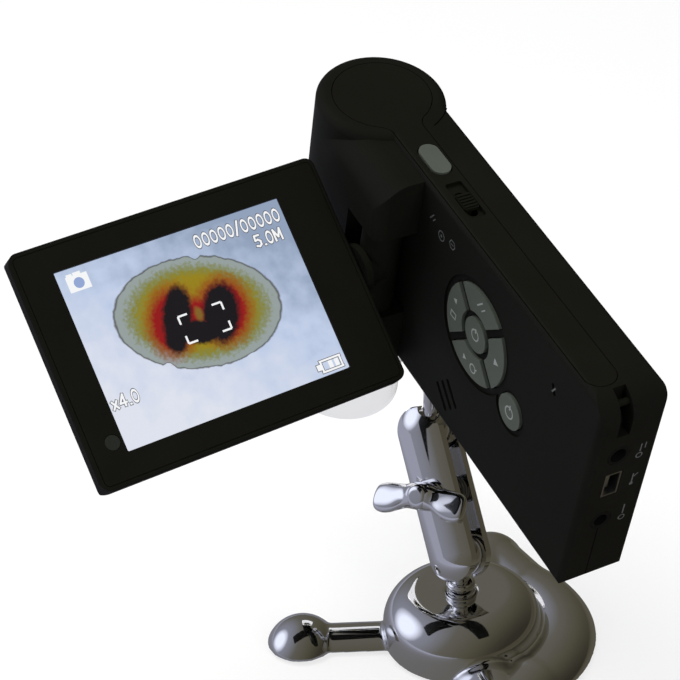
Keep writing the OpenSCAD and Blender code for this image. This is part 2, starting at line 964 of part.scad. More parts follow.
// Clamp arm. X is the bolt axis, Z leads from the lower to the upper ball
module upper_stud() {
  color("#b9bdc2")
    in_head()
      translate([stud_x, stud_y, -stud_z]) {
        sphere(ball_r, $fn = 64);
        cylinder(h = 9, r = neck_r);
        translate([0, 0, 9])
          cylinder(h = stud_drop - 13.1, r1 = neck_r, r2 = 4);
        rod_z(0, 0, 3.05, stud_drop - 6, stud_drop + bush_h - 1.5);
      }
}
module lock_disc() {
  color("#2a2b2e")
    in_head()
      difference() {
        rod_z(stud_x, stud_y, 5.6, -head_h - clear - 2.6, -head_h - clear);
        rod_z(stud_x, stud_y, 3.05, -head_h - 5, -head_h + 1);
        for (a = [0:20:359])
          translate([stud_x, stud_y, 0])
            rotate([0, 0, a])
              rod_z(6.1, 0, 0.8, -head_h - clear - 4, -head_h + 1, $fn = 16);
      }
}
module plate_blank(side) {
  c = 12;
  o = plate_out - c;
  intersection() {
    mirror([side < 0 ? 1 : 0, 0, 0])
      face_x(plate_in, plate_out + 1) {
        translate([-plate_r, 0])
          square([2 * plate_r, arm_len]);
        for (z = [0, arm_len])
          translate([0, z])
            circle(plate_r, $fn = 64);
      }
    translate([side * o, 0, 0])
      rotate([0, 0, side > 0 ? 180 : 0]) {
        cylinder(h = arm_len, r = c, $fn = 96);
        for (z = [0, arm_len])
          translate([0, 0, z])
            sphere(c, $fn = 96);
      }
  }
}
module neck_relief(out, az, swing) {
  w = neck_r + 0.4;
  d = out > 0 ? 29.8 : -23.6;
  rotate([az, 0, 0])
    for (a = [-swing, swing])
      rotate([a, 0, 0])
        rotate([0, d, 0])
          translate([0, 0, 3])
            cylinder(h = 13, r = w);
}
module plate(side) {
  difference() {
    plate_blank(side);
    for (z = [0, arm_len])
      translate([0, 0, z])
        rotate([0, 0, side > 0 ? 180 : 0])
          sphere(ball_r + run_fit, $fn = 64);
    translate([-20, 0, mid])
      rotate([0, 90, 0])
        cylinder(h = 40, r = bolt_r);
    translate([side > 0 ? plate_out - 0.8 : -plate_out - 4.2, 0, mid])
      rotate([0, 90, 0])
        cylinder(h = 5, r = 4.5);
  }
}
module plate_front() {
  color("#c6c9cd")
    in_arm()
      difference() {
        plate(1);
        translate([0, 0, arm_len])
          neck_relief(1, up_az, 12);
      }
}
module plate_rear() {
  color("#c6c9cd")
    in_arm()
      difference() {
        plate(-1);
        neck_relief(-1, low_az, 12);
      }
}
module clamp_bolt() {
  color("#b9bdc2")
    in_arm() {
      rod_x(0, mid, bolt_r, -plate_out, plate_out + 8.5);
      rod_x(0, mid, 4.2, -plate_out - 1.6, -plate_out + 0.8);
    }
}
module clamp_washer() {
  color("#b9bdc2")
    in_arm()
      difference() {
        rod_x(0, mid, 4.2, plate_out - 0.8, plate_out);
        rod_x(0, mid, bolt_r, plate_out - 2, plate_out + 1);
      }
}
module clamp_spring() {
  turns = 3;
  n = 16;
  m = 8;
  wire = 0.45;
  mean = 3.4;
  half = plate_in - wire;
  pts = [for (i = [0:turns * n], j = [0:m - 1])
    let (t = 360 * i / n, q = 360 * j / m, r = mean + wire * cos(q))
      [-half + 2 * half * i / (turns * n) + wire * sin(q), r * cos(t), r * sin(t)]];
  sides = [for (i = [0:turns * n - 1], j = [0:m - 1])
    [i * m + j, i * m + (j + 1) % m, (i + 1) * m + (j + 1) % m, (i + 1) * m + j]];
  last = turns * n * m;
  color("#8d9196")
    in_arm()
      translate([0, 0, mid])
        polyhedron(pts, concat(sides, [[for (j = [m - 1:-1:0]) j], [for (j = [0:m - 1]) last + j]]));
}
module wing() {
  pad = 4.2;
  translate([0, -1.6, 4.4])
    rotate([-wing_tilt, 0, 0])
      linear_extrude(height = 2.4, center = true) {
        translate([wing_len - pad, 0])
          circle(pad);
        polygon([[0, -3], [wing_len - 2 * pad, -2.6], [wing_len - pad, -pad], [wing_len - pad, pad],
          [wing_len - 2 * pad, 2.2], [0, 2.2]]);
      }
}
module wing_nut() {
  x0 = plate_out + clear;
  color("#c6c9cd")
    in_arm()
      translate([x0, 0, mid])
        rotate([0, 90, 0])
          rotate([0, 0, 70])
            difference() {
              union() {
                cylinder(h = 2.4, r = 4.6);
                cylinder(h = 7.2, r1 = 4.4, r2 = 3.5);
                wing();
                mirror([1, 0, 0])
                  wing();
              }
              translate([0, 0, -1])
                cylinder(h = 10, r = bolt_r + run_fit);
            }
}

// Base
module lower_stud() {
  color("#b9bdc2") {
    translate([0, 0, ball_z])
      sphere(ball_r, $fn = 64);
    rod_z(0, 0, neck_r, hub_h, ball_z);
    rod_z(0, 0, stud_r, stud_foot, hub_h + 0.6);
    rotate_extrude()
      intersection() {
        translate([0, hub_h])
          square([6, 6]);
        translate([collar_r - 1.2, hub_h + 2.1])
          circle(1.2, $fn = 32);
      }
    rod_z(0, 0, collar_r - 1.2, hub_h + 0.9, hub_h + 3.3);
  }
}
module bar(length, centre, radius) {
  translate([0, 0, centre])
    rotate([0, 90, 0])
      rotate([0, 0, 180])
        cylinder(h = length, r = radius, $fn = 72);
}
module toe_ball(radius) {
  translate([0, 0, leg_c])
    rotate([0, 0, 180])
      sphere(radius, $fn = 72);
}
module leg(reach, centre, radius) {
  translate([12, 0, 0])
    bar(reach - 12, centre, radius);
  translate([reach, 0, 0])
    toe_ball(leg_r);
}
module arc_half() {
  translate([bend[0], bend[1], 0]) {
    toe_ball(leg_r - 0.2);
    rotate([0, 0, atan2(link[1], link[0])])
      bar(norm(link), leg_c, leg_r - 0.35);
  }
}
module base_casting() {
  color("#c6c9cd")
    difference() {
      union() {
        rotate_extrude($fn = 96)
          intersection() {
            translate([0, 1])
              square([hub_r, hub_h - 1]);
            union() {
              square([hub_r, hub_foot]);
              square([hub_r - dome_r, 20]);
              translate([hub_r - dome_r, hub_foot])
                circle(dome_r, $fn = 72);
            }
          }
        intersection() {
          block(-80, 80, -80, 80, 1, 20);
          rotate([0, 0, leg_heading]) {
            leg(long_leg, waist_c, waist_r);
            for (a = [leg_spread, -leg_spread])
              rotate([0, 0, a])
                leg(side_leg, leg_c, leg_r);
            arc_half();
            mirror([0, 1, 0])
              arc_half();
            rotate([0, 0, arc_end])
              rotate_extrude(angle = 360 - 2 * arc_end, $fn = 96)
                translate([arc_r, leg_c - 0.1])
                  circle(leg_r - 0.5, $fn = 72);
          }
        }
      }
      rod_z(0, 0, stud_r + run_fit, stud_foot - clear, 30);
      rotate_extrude($fn = 96)
        polygon([[0, hub_h - dish_h], [hub_flat - rim_w, hub_h], [hub_flat - rim_w, hub_h + 1],
          [0, hub_h + 1]]);
    }
}
module base_feet() {
  color("#2b2b2d") {
    rod_z(0, 0, 8, 0, 1);
    rotate([0, 0, leg_heading]) {
      rod_z(long_leg - 1, 0, 6, 0, 1);
      for (a = [leg_spread, -leg_spread])
        rotate([0, 0, a])
          rod_z(side_leg - 1, 0, 6, 0, 1);
      rod_z(-arc_r, 0, 6, 0, 1);
    }
  }
}

front_housing();
rear_housing();
top_cover();
case_screws();
strap_bar();
main_board();
battery();
keypad_board();
dome_switches();
key_up();
key_right();
key_down();
key_left();
ok_button();
power_button();
snapshot_button();
snapshot_switch();
slide_knob();
slide_switch();
speaker();
dc_jack();
usb_socket();
av_jack();
lens_barrel();
focus_ring();
lens_cell();
objective_lens();
sensor_board();
led_board();
leds();
light_shade();
tripod_bush();
hinge_pin();
hinge_knuckle();
swivel_shaft();
screen_rear();
screen_front();
screen_window();
display_module();
light_sensor();
upper_stud();
lock_disc();
plate_front();
plate_rear();
clamp_bolt();
clamp_washer();
clamp_spring();
wing_nut();
lower_stud();
base_casting();
base_feet();
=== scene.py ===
import json
import math

import bpy
from mathutils import Euler, Matrix, Vector


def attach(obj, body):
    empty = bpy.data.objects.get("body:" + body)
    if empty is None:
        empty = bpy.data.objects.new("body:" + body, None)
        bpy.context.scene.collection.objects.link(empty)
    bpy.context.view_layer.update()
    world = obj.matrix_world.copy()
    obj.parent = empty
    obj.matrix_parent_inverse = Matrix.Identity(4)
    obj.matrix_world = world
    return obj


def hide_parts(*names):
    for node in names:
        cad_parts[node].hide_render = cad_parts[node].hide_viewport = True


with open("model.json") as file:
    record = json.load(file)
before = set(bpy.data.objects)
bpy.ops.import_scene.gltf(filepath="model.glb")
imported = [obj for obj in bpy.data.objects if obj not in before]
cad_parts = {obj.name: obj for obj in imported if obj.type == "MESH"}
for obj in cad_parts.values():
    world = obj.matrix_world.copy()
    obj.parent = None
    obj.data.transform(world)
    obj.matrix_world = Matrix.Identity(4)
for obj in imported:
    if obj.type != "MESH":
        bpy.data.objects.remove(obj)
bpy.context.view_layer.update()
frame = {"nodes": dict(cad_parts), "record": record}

# ---------------------------------------------------------------------------
# The studio: a pale table under soft boxes, in a pale room.
# Polished metal sees a painted reflection: a bright side to the left and a dark brown far end.
# ---------------------------------------------------------------------------
WHITE = (1.0, 1.0, 1.0, 1.0)
TABLE_SIZE = 14.0
TABLE_PAINT = (0.86, 0.86, 0.865, 1.0)
TABLE_WHITENESS = 0.72
TABLE_REACH = 0.20
TABLE_BRIGHT_SIDE = Vector((math.cos(math.radians(235)), math.sin(math.radians(235)), 0))
WINDOW_SIDE = Vector((math.cos(math.radians(232)), math.sin(math.radians(232)), 0.45)).normalized()


def new_material(name):
    material = bpy.data.materials.new(name)
    material.use_nodes = True
    material.node_tree.nodes.clear()
    return material, material.node_tree.nodes, material.node_tree.links


def side_colour(tree, links, place, side, reach, stops):
    """A colour that depends on how far a place or direction lies to one side."""
    along = tree.new("ShaderNodeVectorMath")
    along.operation = "DOT_PRODUCT"
    along.inputs[1].default_value = side
    links.new(place, along.inputs[0])
    spread = tree.new("ShaderNodeMapRange")
    spread.inputs["From Min"].default_value = -reach
    spread.inputs["From Max"].default_value = reach
    links.new(along.outputs["Value"], spread.inputs["Value"])
    ramp = tree.new("ShaderNodeValToRGB")
    ramp.color_ramp.elements[0].position = stops[0][0]
    ramp.color_ramp.elements[0].color = stops[0][1]
    ramp.color_ramp.elements[1].position = stops[-1][0]
    ramp.color_ramp.elements[1].color = stops[-1][1]
    for position, colour in stops[1:-1]:
        ramp.color_ramp.elements.new(position).color = colour
    links.new(spread.outputs[0], ramp.inputs[0])
    return ramp.outputs[0]


def shown_plain(tree, links, seen_shader, other_shader, share):
    """Mix in the plain shader for rays that come from the camera or through clear plastic."""
    rays = tree.new("ShaderNodeLightPath")
    seen = tree.new("ShaderNodeMath")
    seen.operation = "MAXIMUM"
    links.new(rays.outputs["Is Camera Ray"], seen.inputs[0])
    links.new(rays.outputs["Is Transmission Ray"], seen.inputs[1])
    part = tree.new("ShaderNodeMath")
    part.operation = "MULTIPLY"
    part.inputs[1].default_value = share
    links.new(seen.outputs[0], part.inputs[0])
    mix = tree.new("ShaderNodeMixShader")
    links.new(part.outputs[0], mix.inputs[0])
    links.new(other_shader.outputs[0], mix.inputs[1])
    links.new(seen_shader.outputs[0], mix.inputs[2])
    return mix


def for_metal(tree, links, metal_shader, other_shader):
    """Mix in the shader that only mirror-like surfaces see."""
    rays = tree.new("ShaderNodeLightPath")
    mix = tree.new("ShaderNodeMixShader")
    links.new(rays.outputs["Is Glossy Ray"], mix.inputs[0])
    links.new(other_shader.outputs[0], mix.inputs[1])
    links.new(metal_shader.outputs[0], mix.inputs[2])
    return mix


bpy.ops.object.select_all(action="DESELECT")
bpy.ops.mesh.primitive_plane_add(size=TABLE_SIZE, location=(0, 0, 0))
table_top = bpy.context.object
table_top.name = "table_top"
table_board, tree, links = new_material("painted_table")
paint = tree.new("ShaderNodeBsdfDiffuse")
paint.inputs["Color"].default_value = TABLE_PAINT
glow = tree.new("ShaderNodeEmission")
glow.inputs["Color"].default_value = WHITE
where = tree.new("ShaderNodeTexCoord")
# Painted reflection: for mirror-like surfaces the table turns dark brown on one side and grey-lavender
# towards its bright side.
sheen = tree.new("ShaderNodeEmission")
links.new(side_colour(tree, links, where.outputs["Object"], TABLE_BRIGHT_SIDE, TABLE_REACH, (
    (0.30, (0.075, 0.066, 0.045, 1)),
    (0.46, (0.12, 0.112, 0.085, 1)),
    (0.60, (0.19, 0.19, 0.21, 1)),
    (0.85, (0.36, 0.37, 0.46, 1)))), sheen.inputs["Color"])
out = tree.new("ShaderNodeOutputMaterial")
table_look = shown_plain(tree, links, glow, for_metal(tree, links, sheen, paint), TABLE_WHITENESS)
links.new(table_look.outputs[0], out.inputs["Surface"])
table_top.data.materials.append(table_board)

ROOM_TINT = (0.93, 0.95, 1.0, 1)
ROOM_STRENGTH = 0.5
room = bpy.data.worlds.new("pale_room")
bpy.context.scene.world = room
room.use_nodes = True
tree = room.node_tree.nodes
links = room.node_tree.links
tree.clear()
where = tree.new("ShaderNodeTexCoord")
room_far = tree.new("ShaderNodeBackground")
links.new(side_colour(tree, links, where.outputs["Generated"], WINDOW_SIDE, 1.0, (
    (0.10, (0.035, 0.032, 0.022, 1)),
    (0.40, (0.09, 0.082, 0.056, 1)),
    (0.72, (0.13, 0.124, 0.104, 1)),
    (0.94, (0.26, 0.27, 0.33, 1)),
    (0.985, (1.05, 1.10, 1.30, 1)))), room_far.inputs["Color"])
room_soft = tree.new("ShaderNodeBackground")
room_soft.inputs["Color"].default_value = ROOM_TINT
room_soft.inputs["Strength"].default_value = ROOM_STRENGTH
room_seen = tree.new("ShaderNodeBackground")
room_seen.inputs["Color"].default_value = WHITE
out = tree.new("ShaderNodeOutputWorld")
room_look = shown_plain(tree, links, room_seen, for_metal(tree, links, room_far, room_soft), 1.0)
links.new(room_look.outputs[0], out.inputs["Surface"])


def softbox(name, place, aim, width, height, power, tint):
    bpy.ops.object.light_add(type="AREA", location=place)
    lamp = bpy.context.object
    lamp.name = name
    lamp.data.shape = "RECTANGLE"
    lamp.data.size = width
    lamp.data.size_y = height
    lamp.data.energy = power
    lamp.data.color = tint
    lamp.visible_glossy = False
    lamp.rotation_euler = (Vector(aim) - Vector(place)).to_track_quat("-Z", "Y").to_euler()


softbox(
    "overhead_softbox", place=(-0.25, -0.35, 1.05), aim=(0, 0, 0.1),
    width=0.7, height=0.7, power=10.5, tint=(1.0, 0.985, 0.94))
softbox(
    "left_softbox", place=(-0.75, -0.75, 0.35), aim=(0, 0, 0.08),
    width=0.5, height=0.6, power=2.6, tint=(0.93, 0.95, 1.0))
softbox(
    "right_softbox", place=(0.85, 0.15, 0.5), aim=(0, 0, 0.08),
    width=0.35, height=0.5, power=3.4, tint=(1.0, 0.97, 0.90))

CAMERA_PLACE = (0.4159082, -0.2336018, 0.3718771)
CAMERA_TURN = (59.92077, 3.00777, 62.37874)
CAMERA_LENS = 115.358
bpy.ops.object.camera_add(location=CAMERA_PLACE)
camera = bpy.context.object
camera.rotation_euler = Euler([math.radians(a) for a in CAMERA_TURN])
camera.data.lens = CAMERA_LENS
camera.data.sensor_width = 36.0
camera.data.clip_start = 0.01
camera.data.clip_end = 40.0
bpy.context.scene.camera = camera
bpy.context.scene.view_settings.view_transform = "Standard"


# ---------------------------------------------------------------------------
# Stand base: a lobed zinc casting, polished and chromed, on black rubber pads.
# The hub, legs and arc are one casting, so their joins are softly filleted.
# ---------------------------------------------------------------------------
nodes = frame["nodes"]


def tone(red, green, blue):
    def lin(v):
        v = v / 255.0
        return v / 12.92 if v <= 0.04045 else ((v + 0.055) / 1.055) ** 2.4
    return (lin(red), lin(green), lin(blue), 1.0)


def finish(name, colour, rough, metallic=0.0, specular=0.5,
           spread=0.06, grain=900.0, relief=0.00002, mottle=0.08):
    """A mottled, finely grained surface: spread varies its roughness, relief is the grain's height."""
    material, tree, links = new_material(name)
    where = tree.new("ShaderNodeTexCoord")
    shader = tree.new("ShaderNodeBsdfPrincipled")
    shader.inputs["Metallic"].default_value = metallic
    shader.inputs["Specular IOR Level"].default_value = specular
    broad = tree.new("ShaderNodeTexNoise")
    broad.inputs["Scale"].default_value = 60.0
    broad.inputs["Detail"].default_value = 4.0
    links.new(where.outputs["Object"], broad.inputs["Vector"])
    shade = tree.new("ShaderNodeValToRGB")
    shade.color_ramp.elements[0].position = 0.3
    shade.color_ramp.elements[1].position = 0.7
    shade.color_ramp.elements[0].color = tuple(c * (1.0 - mottle) for c in colour[:3]) + (1.0,)
    shade.color_ramp.elements[1].color = tuple(min(1.0, c * (1.0 + mottle)) for c in colour[:3]) + (1.0,)
    links.new(broad.outputs["Fac"], shade.inputs[0])
    links.new(shade.outputs[0], shader.inputs["Base Color"])
    dull = tree.new("ShaderNodeMapRange")
    dull.inputs["To Min"].default_value = max(0.0, rough - spread)
    dull.inputs["To Max"].default_value = min(1.0, rough + spread)
    links.new(broad.outputs["Fac"], dull.inputs["Value"])
    links.new(dull.outputs[0], shader.inputs["Roughness"])
    fine = tree.new("ShaderNodeTexNoise")
    fine.inputs["Scale"].default_value = grain
    fine.inputs["Detail"].default_value = 2.0
    links.new(where.outputs["Object"], fine.inputs["Vector"])
    bump = tree.new("ShaderNodeBump")
    bump.inputs["Strength"].default_value = 1.0
    bump.inputs["Distance"].default_value = relief
    links.new(fine.outputs["Fac"], bump.inputs["Height"])
    links.new(bump.outputs[0], shader.inputs["Normal"])
    out = tree.new("ShaderNodeOutputMaterial")
    links.new(shader.outputs[0], out.inputs["Surface"])
    return material


def dress(material, *names):
    for name in names:
        mesh = nodes[name].data
        mesh.materials.clear()
        mesh.materials.append(material)


chrome = finish(
    "polished_chrome", (0.80, 0.80, 0.81, 1), rough=0.06, metallic=1.0,
    spread=0.02, grain=260.0, relief=0.0000015, mottle=0.02)
black_rubber = finish(
    "black_rubber", tone(26, 26, 27), rough=0.75, spread=0.08, grain=1400.0, relief=0.00003)
dress(chrome, "base_casting", "lower_stud")
dress(black_rubber, "base_feet")

FILLET_GRID = 0.00035
FILLET_PASSES = 24
skin = nodes["base_casting"].modifiers.new("cast_skin", "REMESH")
skin.mode = "VOXEL"
skin.voxel_size = FILLET_GRID
skin.use_smooth_shade = True
fillets = nodes["base_casting"].modifiers.new("cast_fillets", "SMOOTH")
fillets.factor = 0.5
fillets.iterations = FILLET_PASSES

# ---------------------------------------------------------------------------
# Clamp arm: two cast plates that grip both balls, drawn together by a bolt.
# Chromed like the base; the spring between the plates is plain steel wire.
# ---------------------------------------------------------------------------
spring_steel = finish("spring_steel", (0.45, 0.46, 0.47, 1), rough=0.3, metallic=1.0)
dress(chrome, "plate_front", "plate_rear", "clamp_bolt", "clamp_washer", "wing_nut", "upper_stud")
dress(spring_steel, "clamp_spring")

# ---------------------------------------------------------------------------
# Wing nut: a cast nut with two thick paddles that lean out from the plate.
# One smooth casting, chromed; it runs on the bolt's thread. From here on, sizes on the
# arm, head and screen are in millimetres, in a frame worked out from the joints.
# ---------------------------------------------------------------------------
MM = 0.001
WING_HEADING = math.radians(70)
NUT_BLOCK = (5.6, 8.2, 7.2)
BOSS_RADIUS = 3.6
BOSS_TOP = 6.9
BOSS_CROWN = 1.9
PLATE_OUT = 7.3

joints = {joint["name"]: joint for joint in frame["record"]["behaviour"]["joints"]}


def axes_at(origin, x, y, z):
    """A frame in millimetres, laid at a point of the shared frame along three directions."""
    turn = Matrix((x, y, z)).transposed().to_4x4()
    return Matrix.Translation(origin) @ turn @ Matrix.Scale(MM, 4)


bolt_axis = Vector(joints["arm_tilt"]["axis"])
lower_ball = Vector(joints["arm_tilt"]["pos_m"])
along_arm = Vector(joints["head_tilt"]["pos_m"]) - lower_ball
ARM_LENGTH = along_arm.length / MM
arm_up = along_arm.normalized()
arm = axes_at(lower_ball, bolt_axis, arm_up.cross(bolt_axis), arm_up)
wing_place = arm @ Matrix.Translation((PLATE_OUT, 0, ARM_LENGTH / 2))
wing_place = wing_place @ Matrix.Rotation(math.radians(90), 4, "Y") @ Matrix.Rotation(WING_HEADING, 4, "Z")


def choose(piece):
    bpy.ops.object.select_all(action="DESELECT")
    piece.select_set(True)
    bpy.context.view_layer.objects.active = piece


def settle(piece, name, place, material, body, round_angle=40):
    """Bake a piece into the shared frame and hang it on its body."""
    piece.data.transform(place @ piece.matrix_world)
    piece.matrix_world = Matrix.Identity(4)
    choose(piece)
    bpy.ops.object.mode_set(mode="EDIT")
    bpy.ops.mesh.select_all(action="SELECT")
    bpy.ops.mesh.normals_make_consistent(inside=False)
    bpy.ops.object.mode_set(mode="OBJECT")
    bpy.ops.object.shade_smooth_by_angle(angle=math.radians(round_angle))
    piece.name = name
    piece.data.materials.clear()
    piece.data.materials.append(material)
    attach(piece, body)
    return piece


def merged(pieces):
    choose(pieces[0])
    for piece in pieces:
        piece.select_set(True)
    if len(pieces) > 1:
        bpy.ops.object.join()
    return bpy.context.object


def applied(piece, kind, **values):
    choose(piece)
    change = piece.modifiers.new(kind.lower(), kind)
    for key, value in values.items():
        setattr(change, key, value)
    bpy.ops.object.modifier_apply(modifier=change.name)
    return piece


def pull_wing(nut, side):
    """Draw one side of the nut's block out into a paddle, step by step.

    A step moves out, aside and up, then scales the end in width and thickness and tilts it.
    """
    steps = (
        (1.6, -0.4, 0.4, 0.84, 0.60, 18),
        (2.6, -0.7, 0.5, 1.25, 0.80, 17),
        (3.6, -0.5, 0.1, 1.15, 0.95, 0),
        (2.8, 0.0, 0.0, 0.84, 0.90, 0),
        (0.9, 0.0, 0.0, 0.60, 0.70, 0))
    choose(nut)
    bpy.ops.object.mode_set(mode="EDIT")
    bpy.ops.mesh.select_mode(type="FACE")
    bpy.ops.mesh.select_all(action="DESELECT")
    bpy.ops.object.mode_set(mode="OBJECT")
    for face in nut.data.polygons:
        face.select = face.normal.x * side > 0.9
    centre = Vector((side * NUT_BLOCK[0] / 2, 0.0, NUT_BLOCK[2] / 2))
    bpy.ops.object.mode_set(mode="EDIT")
    for reach, aside, rise, wide, thick, lean in steps:
        move = Vector((side * reach, aside, rise))
        centre += move
        bpy.ops.mesh.extrude_region_move(TRANSFORM_OT_translate={"value": move})
        bpy.ops.transform.resize(value=(1, wide, thick), center_override=centre)
        if lean:
            bpy.ops.transform.rotate(value=math.radians(lean), orient_axis="X", center_override=centre)
    bpy.ops.object.mode_set(mode="OBJECT")


bpy.ops.mesh.primitive_cube_add(size=1, location=(0, 0, 0))
nut = bpy.context.object
nut.data.transform(Matrix.Translation((0, 0, NUT_BLOCK[2] / 2)) @ Matrix.Diagonal((*NUT_BLOCK, 1)))
pull_wing(nut, 1)
pull_wing(nut, -1)
applied(nut, "SUBSURF", levels=4, render_levels=4)
bpy.ops.mesh.primitive_cylinder_add(
    vertices=64, radius=BOSS_RADIUS, depth=BOSS_TOP, location=(0, 0, BOSS_TOP / 2))
boss = applied(bpy.context.object, "BEVEL", width=BOSS_CROWN, segments=8)
nut = merged([nut, boss])
settle(nut, "wing_nut_casting", wing_place, chrome, "wing", 80)
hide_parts("wing_nut")

# ---------------------------------------------------------------------------
# Clamp bolt: turned steel, chromed, with a low round head behind the rear plate.
# It passes through both plates and ends inside the wing nut.
# ---------------------------------------------------------------------------
BOLT_RADIUS = 2.5
BOLT_HEAD_RADIUS = 4.2
BOLT_HEAD_HEIGHT = 1.5
BOLT_HEAD_OUT = 0.55
BOLT_EDGE = 0.35
NUT_HEIGHT = 5.6
shank_length = 2 * PLATE_OUT + NUT_HEIGHT
along_bolt = arm @ Matrix.Translation((0, 0, ARM_LENGTH / 2)) @ Matrix.Rotation(math.radians(90), 4, "Y")
bpy.ops.mesh.primitive_cylinder_add(
    vertices=48, radius=BOLT_RADIUS, depth=shank_length, location=(0, 0, shank_length / 2 - PLATE_OUT))
shank = bpy.context.object
bpy.ops.mesh.primitive_cylinder_add(
    vertices=64, radius=BOLT_HEAD_RADIUS, depth=BOLT_HEAD_HEIGHT,
    location=(0, 0, -PLATE_OUT - BOLT_HEAD_OUT))
bolt = applied(merged([shank, bpy.context.object]), "BEVEL", width=BOLT_EDGE, segments=3)
settle(bolt, "clamp_bolt_turned", along_bolt, chrome, "arm", 50)
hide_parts("clamp_bolt")

# ---------------------------------------------------------------------------
# Head housing: two halves moulded in matt black ABS with a fine spark texture.
# A satin cover closes the top; pale marks are printed on the key face.
# ---------------------------------------------------------------------------
HINGE_IN_HEAD = Vector((24.9, -10.5, -32.0))
FRONT_Y = -4.9
HEAD_LENGTH = 114.1
HEAD_HEIGHT = 63.3
BARREL_RADIUS = 16.6
SPLIT_Y = 2.1
FOOT_OF_AV_JACK = -43.6

head_up = Vector(joints["head_turn"]["axis"])
head_side = Vector((0, 1, 0))
hinge_point = Vector(joints["lid_open"]["pos_m"])
head_turn = Matrix((head_side.cross(head_up), head_side, head_up)).transposed()
head_origin = hinge_point - head_turn @ HINGE_IN_HEAD * MM
head = axes_at(head_origin, *(head_turn.col[i] for i in range(3)))

# Faces to print on: the first two axes lie in the face, the third leaves it
key_face = head @ Matrix(((1, 0, 0, 0), (0, 0, -1, FRONT_Y), (0, 1, 0, 0), (0, 0, 0, 1)))
port_face = head @ Matrix(((0, 0, 1, HEAD_LENGTH), (1, 0, 0, 0), (0, 1, 0, 0), (0, 0, 0, 1)))

black_case = finish(
    "matt_black_case", tone(18, 18, 15), rough=0.6, specular=0.05,
    spread=0.05, grain=2600.0, relief=0.000012)
satin_cover = finish(
    "satin_black_cover", tone(18, 18, 14), rough=0.5, specular=0.06,
    spread=0.05, grain=2600.0, relief=0.000008)
pale_print = finish("pale_print", tone(70, 72, 72), rough=0.6)
steel = finish("bright_steel", (0.55, 0.56, 0.57, 1), rough=0.28, metallic=1.0)
dress(black_case, "front_housing", "rear_housing", "lock_disc")
dress(satin_cover, "top_cover", "slide_knob", "strap_bar")
dress(steel, "case_screws")

INK = 0.03


def bar(across, up, length, width, turn=0.0):
    bpy.ops.mesh.primitive_cube_add(
        size=1, location=(across, up, INK / 2), rotation=(0, 0, math.radians(turn)))
    bpy.context.object.scale = (length, width, INK)
    return bpy.context.object


def ring(across, up, radius, line, sides=40):
    bpy.ops.mesh.primitive_torus_add(
        location=(across, up, INK / 2), major_radius=radius, minor_radius=line / 2,
        major_segments=sides, minor_segments=6)
    bpy.context.object.scale = (1, 1, INK / line)
    return bpy.context.object


def disc(across, up, radius, sides=32, turn=0.0):
    bpy.ops.mesh.primitive_cylinder_add(
        vertices=sides, radius=radius, depth=INK, location=(across, up, INK / 2),
        rotation=(0, 0, math.radians(turn)))
    return bpy.context.object


def printed(name, face, ink, body, marks):
    """Join marks drawn in a face's own millimetres into one print on that face."""
    for mark in marks:
        choose(mark)
        bpy.ops.object.transform_apply(location=True, rotation=True, scale=True)
    return settle(merged(marks), name, face, ink, body)


# The seams are painted shade: thin near-black strips laid on the faces where the housing's parts meet.
seam_shadow = finish("seam_shadow", tone(4, 4, 4), rough=0.9, specular=0.0)
SEAM_END_GAP = 1.2
seam_length = HEAD_HEIGHT + FOOT_OF_AV_JACK - 2 * SEAM_END_GAP
seam_middle = (FOOT_OF_AV_JACK - HEAD_HEIGHT) / 2 + 1.1
arc_steps = [math.radians(a) for a in range(25, 52, 3)]
printed("barrel_seam", head, seam_shadow, "head", [
    bar(BARREL_RADIUS * math.cos(a), BARREL_RADIUS * math.sin(a), 1.0, 0.28, math.degrees(a) + 90)
    for a in arc_steps])
printed("split_seam", port_face, seam_shadow, "head", [
    bar(SPLIT_Y, seam_middle, seam_length, 0.22, 90)])
printed("socket_marks", port_face, pale_print, "head", [
    ring(8.4, -20.2, 0.8, 0.3), bar(8.4, -17.6, 2.6, 0.35, 90), bar(9.6, -17.2, 2.0, 0.3, 90),
    bar(8.4, -28.2, 3.0, 0.35, 90), bar(9.2, -27.4, 1.4, 0.3, 40), disc(8.4, -30.2, 0.5),
    ring(8.4, -42.4, 0.8, 0.3), bar(8.4, -39.4, 3.2, 0.35, 90)])
printed("face_marks", key_face, pale_print, "head", [
    bar(37.0, -8.0, 2.6, 0.35, 55), bar(38.2, -8.2, 1.6, 0.3, 55),
    ring(42.2, -10.0, 1.3, 0.3), disc(42.2, -10.0, 0.4),
    ring(47.2, -8.6, 1.3, 0.3, 6), bar(47.2, -8.6, 1.2, 0.25)])
printed("microphone_mark", key_face, pale_print, "head", [bar(95.5, -11.5, 2.2, 0.45, 62)])

# ---------------------------------------------------------------------------
# Keys: grey-green rubber caps in the key face and one in the top cover.
# Their signs are printed in white; none has lettering.
# ---------------------------------------------------------------------------
key_rubber = finish(
    "grey_key_rubber", tone(68, 73, 67), rough=0.55, specular=0.2,
    spread=0.05, grain=2000.0, relief=0.00001)
white_print = finish("white_print", tone(128, 134, 132), rough=0.6)
dress(key_rubber, "key_up", "key_right", "key_down", "key_left")
dress(key_rubber, "ok_button", "power_button", "snapshot_button")
KEY_TOP = 0.2
key_tops = key_face @ Matrix.Translation((0, 0, KEY_TOP))
printed("up_sign", key_tops, white_print, "key_up", [
    bar(62.6, -14.4, 3.0, 0.4, 50), bar(64.4, -15.0, 2.0, 0.35, 50)])
printed("left_sign", key_tops, white_print, "key_left", [
    disc(52.9, -22.2, 0.95, 3, 90), bar(52.9, -26.2, 2.2, 0.3), bar(52.9, -27.8, 2.2, 0.3),
    bar(51.8, -27.0, 1.9, 0.3, 90), bar(54.0, -27.0, 1.9, 0.3, 90)])
printed("right_sign", key_tops, white_print, "key_right", [disc(72.9, -24.6, 1.25, 3, -90)])
